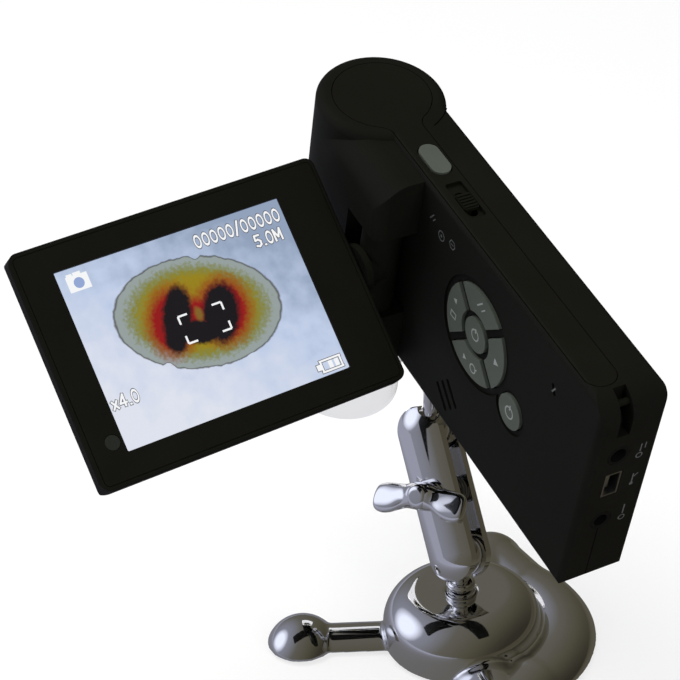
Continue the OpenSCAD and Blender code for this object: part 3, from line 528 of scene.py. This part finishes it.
printed("down_sign", key_tops, white_print, "key_down", [
    disc(60.4, -34.6, 0.95, 3, -90), ring(64.6, -34.8, 1.2, 0.35), bar(65.9, -34.2, 1.0, 0.35, 40)])
printed("middle_sign", key_tops, white_print, "ok_button", [
    ring(63.0, -24.6, 1.5, 0.4), bar(63.0, -23.3, 1.4, 0.4, 90)])
printed("power_sign", key_tops, white_print, "power_button", [
    ring(81.8, -33.2, 1.6, 0.42), bar(81.8, -31.6, 1.6, 0.42, 90)])

# ---------------------------------------------------------------------------
# Sockets: moulded jacks and a folded steel data socket, soldered to the board.
# Their contacts are gold-plated springs set into the mouths.
# ---------------------------------------------------------------------------
dark_moulding = finish("dark_moulding", tone(14, 14, 14), rough=0.6, specular=0.1)
gold = finish("gold_plate", (0.80, 0.60, 0.28, 1), rough=0.25, metallic=1.0)
dress(dark_moulding, "dc_jack", "av_jack")
dress(steel, "usb_socket")
PORT_Y = 2.3
DC_Z = -17.8
USB_Z = -28.0
AV_Z = -40.8
CONTACT_PITCH = 0.9
CONTACT_SIZE = (0.12, 0.4, 5.2)
RING_DEPTH = 3.0
RING_WIRE = 0.16
contacts = []
for i in range(5):
    bpy.ops.mesh.primitive_cube_add(
        size=1, location=(PORT_Y - 0.25, USB_Z + (i - 2) * CONTACT_PITCH, -4.6))
    bpy.context.object.scale = CONTACT_SIZE
    contacts.append(bpy.context.object)
for up, radius in ((DC_Z, 2.0), (AV_Z, 1.7)):
    bpy.ops.mesh.primitive_torus_add(
        location=(PORT_Y, up, -RING_DEPTH), major_radius=radius, minor_radius=RING_WIRE,
        major_segments=40, minor_segments=8)
    contacts.append(bpy.context.object)
printed("socket_contacts", port_face, gold, "head", contacts)

# ---------------------------------------------------------------------------
# Inside the head: boards, the battery, the switches and the loudspeaker.
# Green laminate, a sleeved cell, black mouldings, steel snap domes and a brass tripod bush.
# ---------------------------------------------------------------------------
dress(dark_moulding, "snapshot_switch", "slide_switch", "speaker")
dress(steel, "dome_switches")
board_green = finish("green_board", tone(24, 84, 52), rough=0.4)
dress(board_green, "main_board", "keypad_board", "sensor_board")
cell_blue = finish("battery_sleeve", tone(50, 66, 96), rough=0.35)
dress(cell_blue, "battery")
brass = finish("turned_brass", (0.72, 0.55, 0.28, 1), rough=0.3, metallic=1.0)
dress(brass, "tripod_bush")

# ---------------------------------------------------------------------------
# Optics: a black anodised barrel and cell, a glass lens and a ring of lamps.
# The clear acrylic shade is pushed over the nose below the focus ring.
# ---------------------------------------------------------------------------
anodised = finish("black_anodised", tone(34, 35, 38), rough=0.35, metallic=0.6)
dress(anodised, "lens_barrel", "lens_cell")
dress(black_case, "focus_ring")
board_white = finish("white_board", tone(228, 230, 228), rough=0.5)
dress(board_white, "led_board")
lamp_yellow = finish("lamp_phosphor", tone(240, 232, 190), rough=0.3)
dress(lamp_yellow, "leds")


def clear_plastic(name, colour, ior, rough):
    material, tree, links = new_material(name)
    shader = tree.new("ShaderNodeBsdfPrincipled")
    shader.inputs["Base Color"].default_value = colour
    shader.inputs["Transmission Weight"].default_value = 1.0
    shader.inputs["IOR"].default_value = ior
    shader.inputs["Roughness"].default_value = rough
    where = tree.new("ShaderNodeTexCoord")
    fine = tree.new("ShaderNodeTexNoise")
    fine.inputs["Scale"].default_value = 150.0
    links.new(where.outputs["Object"], fine.inputs["Vector"])
    bump = tree.new("ShaderNodeBump")
    bump.inputs["Strength"].default_value = 1.0
    bump.inputs["Distance"].default_value = 0.000004
    links.new(fine.outputs["Fac"], bump.inputs["Height"])
    links.new(bump.outputs[0], shader.inputs["Normal"])
    out = tree.new("ShaderNodeOutputMaterial")
    links.new(shader.outputs[0], out.inputs["Surface"])
    return material


clear_acrylic = clear_plastic("clear_acrylic", (0.975, 0.975, 0.995, 1), ior=1.12, rough=0.06)
lens_glass = clear_plastic("lens_glass", (0.9, 0.95, 1.0, 1), ior=1.52, rough=0.02)
dress(clear_acrylic, "light_shade")
dress(lens_glass, "objective_lens")

# ---------------------------------------------------------------------------
# Lid hinge: a moulded knuckle turns on a steel pin between the housing's ears.
# The steel shaft through it lets the screen swivel; here the lid stands open and swivelled.
# ---------------------------------------------------------------------------
LID_ANGLE = math.radians(86)
SWIVEL_ANGLE = math.radians(59)
knuckle = head @ Matrix.Translation(HINGE_IN_HEAD) @ Matrix.Rotation(-LID_ANGLE, 4, "Z")
screen = knuckle @ Matrix.Rotation(SWIVEL_ANGLE, 4, "X")
dress(black_case, "hinge_knuckle")
dress(steel, "hinge_pin", "swivel_shaft")

# ---------------------------------------------------------------------------
# Screen: a black shell and front plate round a liquid-crystal panel under glass.
# The panel is lit from behind and shows a stained specimen with its readouts.
# ---------------------------------------------------------------------------
GLASS_Y = 3.8
GLASS_X = 51.4
glass_face = screen @ Matrix(((-1, 0, 0, GLASS_X), (0, 0, 1, GLASS_Y), (0, 1, 0, 0), (0, 0, 0, 1)))

dress(black_case, "screen_rear")
dress(satin_cover, "screen_front")
tin_plate = finish("tin_plate", (0.4, 0.41, 0.42, 1), rough=0.4, metallic=0.9)
dress(tin_plate, "display_module")
smoked = finish("smoked_lens", tone(34, 36, 33), rough=0.2, specular=0.2)
dress(smoked, "light_sensor")


def mixed(tree, links, factor, colour, under):
    """Lay a colour over another where the factor is one."""
    mix = tree.new("ShaderNodeMix")
    mix.data_type = "RGBA"
    links.new(factor, mix.inputs["Factor"])
    mix.inputs["B"].default_value = colour
    links.new(under, mix.inputs["A"])
    return mix.outputs["Result"]


def blob(tree, links, place, centre, half, lean=0.0):
    """Distance from an ellipse's middle, one on its edge."""
    fit = tree.new("ShaderNodeMapping")
    fit.vector_type = "TEXTURE"
    fit.inputs["Location"].default_value = (-centre[0], 0, centre[1])
    fit.inputs["Rotation"].default_value = (0, math.radians(lean), 0)
    fit.inputs["Scale"].default_value = (half[0], 1, half[1])
    links.new(place, fit.inputs["Vector"])
    flat = tree.new("ShaderNodeVectorMath")
    flat.operation = "MULTIPLY"
    flat.inputs[1].default_value = (1, 0, 1)
    links.new(fit.outputs[0], flat.inputs[0])
    size = tree.new("ShaderNodeVectorMath")
    size.operation = "LENGTH"
    links.new(flat.outputs[0], size.inputs[0])
    return size.outputs["Value"]


def least(tree, links, values):
    """The smallest of several values, which joins shapes into one."""
    first = values[0]
    for value in values[1:]:
        pick = tree.new("ShaderNodeMath")
        pick.operation = "MINIMUM"
        links.new(first, pick.inputs[0])
        links.new(value, pick.inputs[1])
        first = pick.outputs[0]
    return first


def inside(tree, links, distance, edge, soft):
    """One inside a distance, nought outside it, with a soft edge between."""
    cut = tree.new("ShaderNodeMapRange")
    cut.inputs["From Min"].default_value = edge - soft
    cut.inputs["From Max"].default_value = edge + soft
    cut.inputs["To Min"].default_value = 1.0
    cut.inputs["To Max"].default_value = 0.0
    links.new(distance, cut.inputs["Value"])
    return cut.outputs[0]


picture, tree, links = new_material("display_picture")
where = tree.new("ShaderNodeTexCoord")
fit = tree.new("ShaderNodeMapping")
fit.vector_type = "TEXTURE"
fit.inputs["Location"].default_value = screen @ Vector((GLASS_X, GLASS_Y, 0))
fit.inputs["Rotation"].default_value = screen.to_euler()
fit.inputs["Scale"].default_value = (MM, MM, MM)
links.new(where.outputs["Object"], fit.inputs["Vector"])
wobble = tree.new("ShaderNodeTexNoise")
wobble.inputs["Scale"].default_value = 0.35
wobble.inputs["Detail"].default_value = 3.0
links.new(fit.outputs[0], wobble.inputs["Vector"])
centred = tree.new("ShaderNodeVectorMath")
centred.operation = "SUBTRACT"
centred.inputs[1].default_value = (0.5, 0.5, 0.5)
links.new(wobble.outputs["Color"], centred.inputs[0])
stretch = tree.new("ShaderNodeVectorMath")
stretch.operation = "SCALE"
stretch.inputs["Scale"].default_value = 1.3
links.new(centred.outputs[0], stretch.inputs[0])
drawn = tree.new("ShaderNodeVectorMath")
drawn.operation = "ADD"
links.new(fit.outputs[0], drawn.inputs[0])
links.new(stretch.outputs[0], drawn.inputs[1])
place = drawn.outputs[0]

sky = tree.new("ShaderNodeValToRGB")
sky.color_ramp.elements[0].color = tone(224, 228, 240)
sky.color_ramp.elements[1].color = tone(146, 162, 188)
sky.color_ramp.elements.new(0.55).color = tone(192, 206, 232)
slope = tree.new("ShaderNodeVectorMath")
slope.operation = "DOT_PRODUCT"
slope.inputs[1].default_value = (-0.011, 0, 0.016)
links.new(fit.outputs[0], slope.inputs[0])
level = tree.new("ShaderNodeMath")
level.inputs[1].default_value = 0.5
links.new(slope.outputs["Value"], level.inputs[0])
cloud = tree.new("ShaderNodeTexNoise")
cloud.inputs["Scale"].default_value = 0.16
cloud.inputs["Detail"].default_value = 6.0
links.new(fit.outputs[0], cloud.inputs["Vector"])
drift = tree.new("ShaderNodeMath")
drift.operation = "MULTIPLY_ADD"
drift.inputs[1].default_value = 0.8
drift.inputs[2].default_value = -0.4
links.new(cloud.outputs["Fac"], drift.inputs[0])
both = tree.new("ShaderNodeMath")
links.new(level.outputs[0], both.inputs[0])
links.new(drift.outputs[0], both.inputs[1])
links.new(both.outputs[0], sky.inputs[0])

# The specimen: a notched oval with a pale rim, stained towards its two dark lobes
DENT_DEPTH = 0.09
FRAY = 0.34
PICTURE_GLOW = 0.97


def with_dents(tree, links, place, distance, dents):
    """Raise the distance near each dent, so that the outline dips there."""
    for spot_at, half in dents:
        dent = inside(tree, links, blob(tree, links, place, spot_at, half), 0.5, 0.5)
        lift = tree.new("ShaderNodeMath")
        lift.operation = "MULTIPLY_ADD"
        lift.inputs[1].default_value = DENT_DEPTH
        links.new(dent, lift.inputs[0])
        links.new(distance, lift.inputs[2])
        distance = lift.outputs[0]
    return distance


oval = blob(tree, links, place, (-0.4, 2.6), (21.5, 14.1), -12)
outer = with_dents(tree, links, place, oval, [
    ((4.4, 16.2), (1.4, 2.0)), ((-12.6, -7.6), (1.6, 2.0)), ((8.6, -12.6), (2.6, 1.4))])
fibres = tree.new("ShaderNodeTexNoise")
fibres.inputs["Scale"].default_value = 1.1
fibres.inputs["Detail"].default_value = 6.0
links.new(fit.outputs[0], fibres.inputs["Vector"])
frayed = tree.new("ShaderNodeMath")
frayed.operation = "MULTIPLY_ADD"
frayed.inputs[1].default_value = FRAY
frayed.inputs[2].default_value = -FRAY / 2
links.new(fibres.outputs["Fac"], frayed.inputs[0])
loose = tree.new("ShaderNodeMath")
links.new(outer, loose.inputs[0])
links.new(frayed.outputs[0], loose.inputs[1])
bands = tree.new("ShaderNodeValToRGB")
bands.color_ramp.elements[0].color = tone(150, 120, 14)
bands.color_ramp.elements[1].position = 0.98
bands.color_ramp.elements[1].color = tone(150, 162, 160)
for position, band in ((0.62, (150, 130, 18)), (0.73, (134, 130, 52)), (0.82, (134, 142, 110)),
                       (0.90, (150, 160, 158))):
    bands.color_ramp.elements.new(position).color = tone(*band)
links.new(loose.outputs[0], bands.inputs[0])
rind = tree.new("ShaderNodeMix")
rind.data_type = "RGBA"
rind.inputs["A"].default_value = tone(58, 50, 38)
links.new(inside(tree, links, outer, 0.982, 0.012), rind.inputs["Factor"])
links.new(bands.outputs[0], rind.inputs["B"])
specimen = tree.new("ShaderNodeMix")
specimen.data_type = "RGBA"
links.new(inside(tree, links, outer, 1.0, 0.012), specimen.inputs["Factor"])
links.new(sky.outputs[0], specimen.inputs["A"])
links.new(rind.outputs["Result"], specimen.inputs["B"])
colour = specimen.outputs["Result"]
stain = least(tree, links, [
    blob(tree, links, place, (-7.6, 2.6), (6.6, 9.2), -25),
    blob(tree, links, place, (5.8, 0.8), (7.2, 8.8), -24),
    blob(tree, links, place, (-0.4, 1.2), (5.2, 5.6))])
ragged = tree.new("ShaderNodeMath")
links.new(stain, ragged.inputs[0])
links.new(frayed.outputs[0], ragged.inputs[1])
colour = mixed(tree, links, inside(tree, links, ragged.outputs[0], 0.94, 0.26), tone(146, 14, 14), colour)
core = least(tree, links, [
    blob(tree, links, place, (-6.1, 3.2), (3.5, 7.4), -25),
    blob(tree, links, place, (-8.0, -0.9), (2.9, 4.4), -22),
    blob(tree, links, place, (4.8, 0.6), (4.4, 7.2), -24),
    blob(tree, links, place, (-2.2, -2.0), (6.2, 2.8), -17)])
notched = tree.new("ShaderNodeMath")
links.new(core, notched.inputs[0])
links.new(frayed.outputs[0], notched.inputs[1])
colour = mixed(tree, links, inside(tree, links, notched.outputs[0], 1.06, 0.17), tone(13, 9, 14), colour)
spot = blob(tree, links, place, (-0.6, 2.2), (1.0, 1.7))
colour = mixed(tree, links, inside(tree, links, spot, 1.0, 0.4), tone(128, 96, 34), colour)
lit = tree.new("ShaderNodeBsdfPrincipled")
lit.inputs["Base Color"].default_value = tone(20, 20, 22)
lit.inputs["Roughness"].default_value = 0.3
lit.inputs["Specular IOR Level"].default_value = 0.2
lit.inputs["Emission Strength"].default_value = PICTURE_GLOW
links.new(colour, lit.inputs["Emission Color"])
out = tree.new("ShaderNodeOutputMaterial")
links.new(lit.outputs[0], out.inputs["Surface"])
dress(picture, "screen_window")


def lit_sign(name, colour):
    material, tree, links = new_material(name)
    where = tree.new("ShaderNodeTexCoord")
    cells = tree.new("ShaderNodeTexChecker")
    cells.inputs["Scale"].default_value = 6000.0
    cells.inputs["Color1"].default_value = colour
    cells.inputs["Color2"].default_value = tuple(c * 0.94 for c in colour[:3]) + (1.0,)
    links.new(where.outputs["Object"], cells.inputs["Vector"])
    glow = tree.new("ShaderNodeEmission")
    links.new(cells.outputs[0], glow.inputs["Color"])
    out = tree.new("ShaderNodeOutputMaterial")
    links.new(glow.outputs[0], out.inputs["Surface"])
    return material


# Strokes of the readout figures, in a cell one high; a nought is a ring
FIGURES = {
    "5": [((0.50, 0.94), (0.12, 0.94), (0.09, 0.56), (0.32, 0.60),
           (0.50, 0.44), (0.48, 0.18), (0.30, 0.05), (0.08, 0.14))],
    "4": [((0.42, 0.04), (0.42, 0.94), (0.05, 0.30), (0.58, 0.30))],
    "M": [((0.06, 0.04), (0.06, 0.94), (0.34, 0.30), (0.62, 0.94), (0.62, 0.04))],
    "x": [((0.06, 0.04), (0.46, 0.62)), ((0.06, 0.62), (0.46, 0.04))],
    "/": [((0.04, -0.04), (0.40, 1.04))],
    ".": [((0.10, 0.04), (0.16, 0.04))]}
ADVANCE = {"0": 0.69, "5": 0.69, "4": 0.72, "M": 0.8, "x": 0.62, "/": 0.56, ".": 0.32}


def stroke(start, end, line):
    reach = Vector(end) - Vector(start)
    middle = (Vector(end) + Vector(start)) / 2
    lean = math.degrees(math.atan2(reach.y, reach.x))
    return bar(middle.x, middle.y, reach.length + line * 0.8, line, lean)


def figures(text, left, low, height, line):
    """A row of readout figures, drawn stroke by stroke from its lower left corner."""
    marks = []
    for figure in text:
        if figure == "0":
            marks.append(ring(left + 0.3 * height, low + 0.5 * height, 0.36 * height, line))
            marks[-1].scale = (0.66, 1.25, INK / line)
        for points in FIGURES.get(figure, []):
            spots = [(left + x * height, low + y * height) for x, y in points]
            marks.extend(stroke(spots[i], spots[i + 1], line) for i in range(len(spots) - 1))
        left += ADVANCE[figure] * height
    return marks


def icon_lines(line):
    """The outlines of the battery sign."""
    return [
        bar(26.4, -19.2, 5.6 + line, line), bar(26.4, -22.0, 5.6 + line, line),
        bar(29.1, -20.6, 2.8, line, 90), bar(23.7, -20.6, 2.8, line, 90),
        bar(22.9, -20.6, 1.0 + line, 0.7 + line, 90)]


def readouts(line):
    """Every line on the picture, so that the dark edging and the white repeat one drawing."""
    marks = figures("00000/00000", 5.5, 17.4, 3.25, line)
    marks += figures("5.0M", 20.4, 12.7, 3.2, line)
    marks += figures("x4.0", -30.0, -12.8, 3.2, line)
    return marks + icon_lines(line)


lit_white = lit_sign("lit_white", tone(248, 249, 250))
lit_edging = lit_sign("lit_edging", tone(92, 92, 100))
lit_blue = lit_sign("lit_blue", tone(150, 170, 215))
above_glass = glass_face @ Matrix.Translation((0, 0, INK * 1.5))
printed("readout_edging", glass_face, lit_edging, "screen", readouts(0.85))
printed("readouts", above_glass, lit_white, "screen", readouts(0.5) + [
    bar(27.9, -20.6, 1.9, 1.1, 90), bar(26.2, -20.6, 1.9, 1.1, 90)])
printed("camera_sign", glass_face, lit_white, "screen", [
    bar(-25.7, 19.0, 5.6, 4.0), bar(-27.4, 21.2, 1.5, 0.7), bar(-25.4, 21.2, 2.0, 0.9)])
printed("camera_sign_lens", above_glass, lit_blue, "screen", [disc(-25.6, 18.9, 1.35)])
brackets = []
for side in (-1, 1):
    for rise in (-1, 1):
        across = -0.1 + side * 5.9
        up = -0.4 + rise * 3.5
        brackets.append(bar(across - side * 1.25, up, 2.5, 0.5))
        brackets.append(bar(across, up - rise * 1.0, 2.0, 0.5, 90))
printed("focus_brackets", above_glass, lit_white, "screen", brackets)
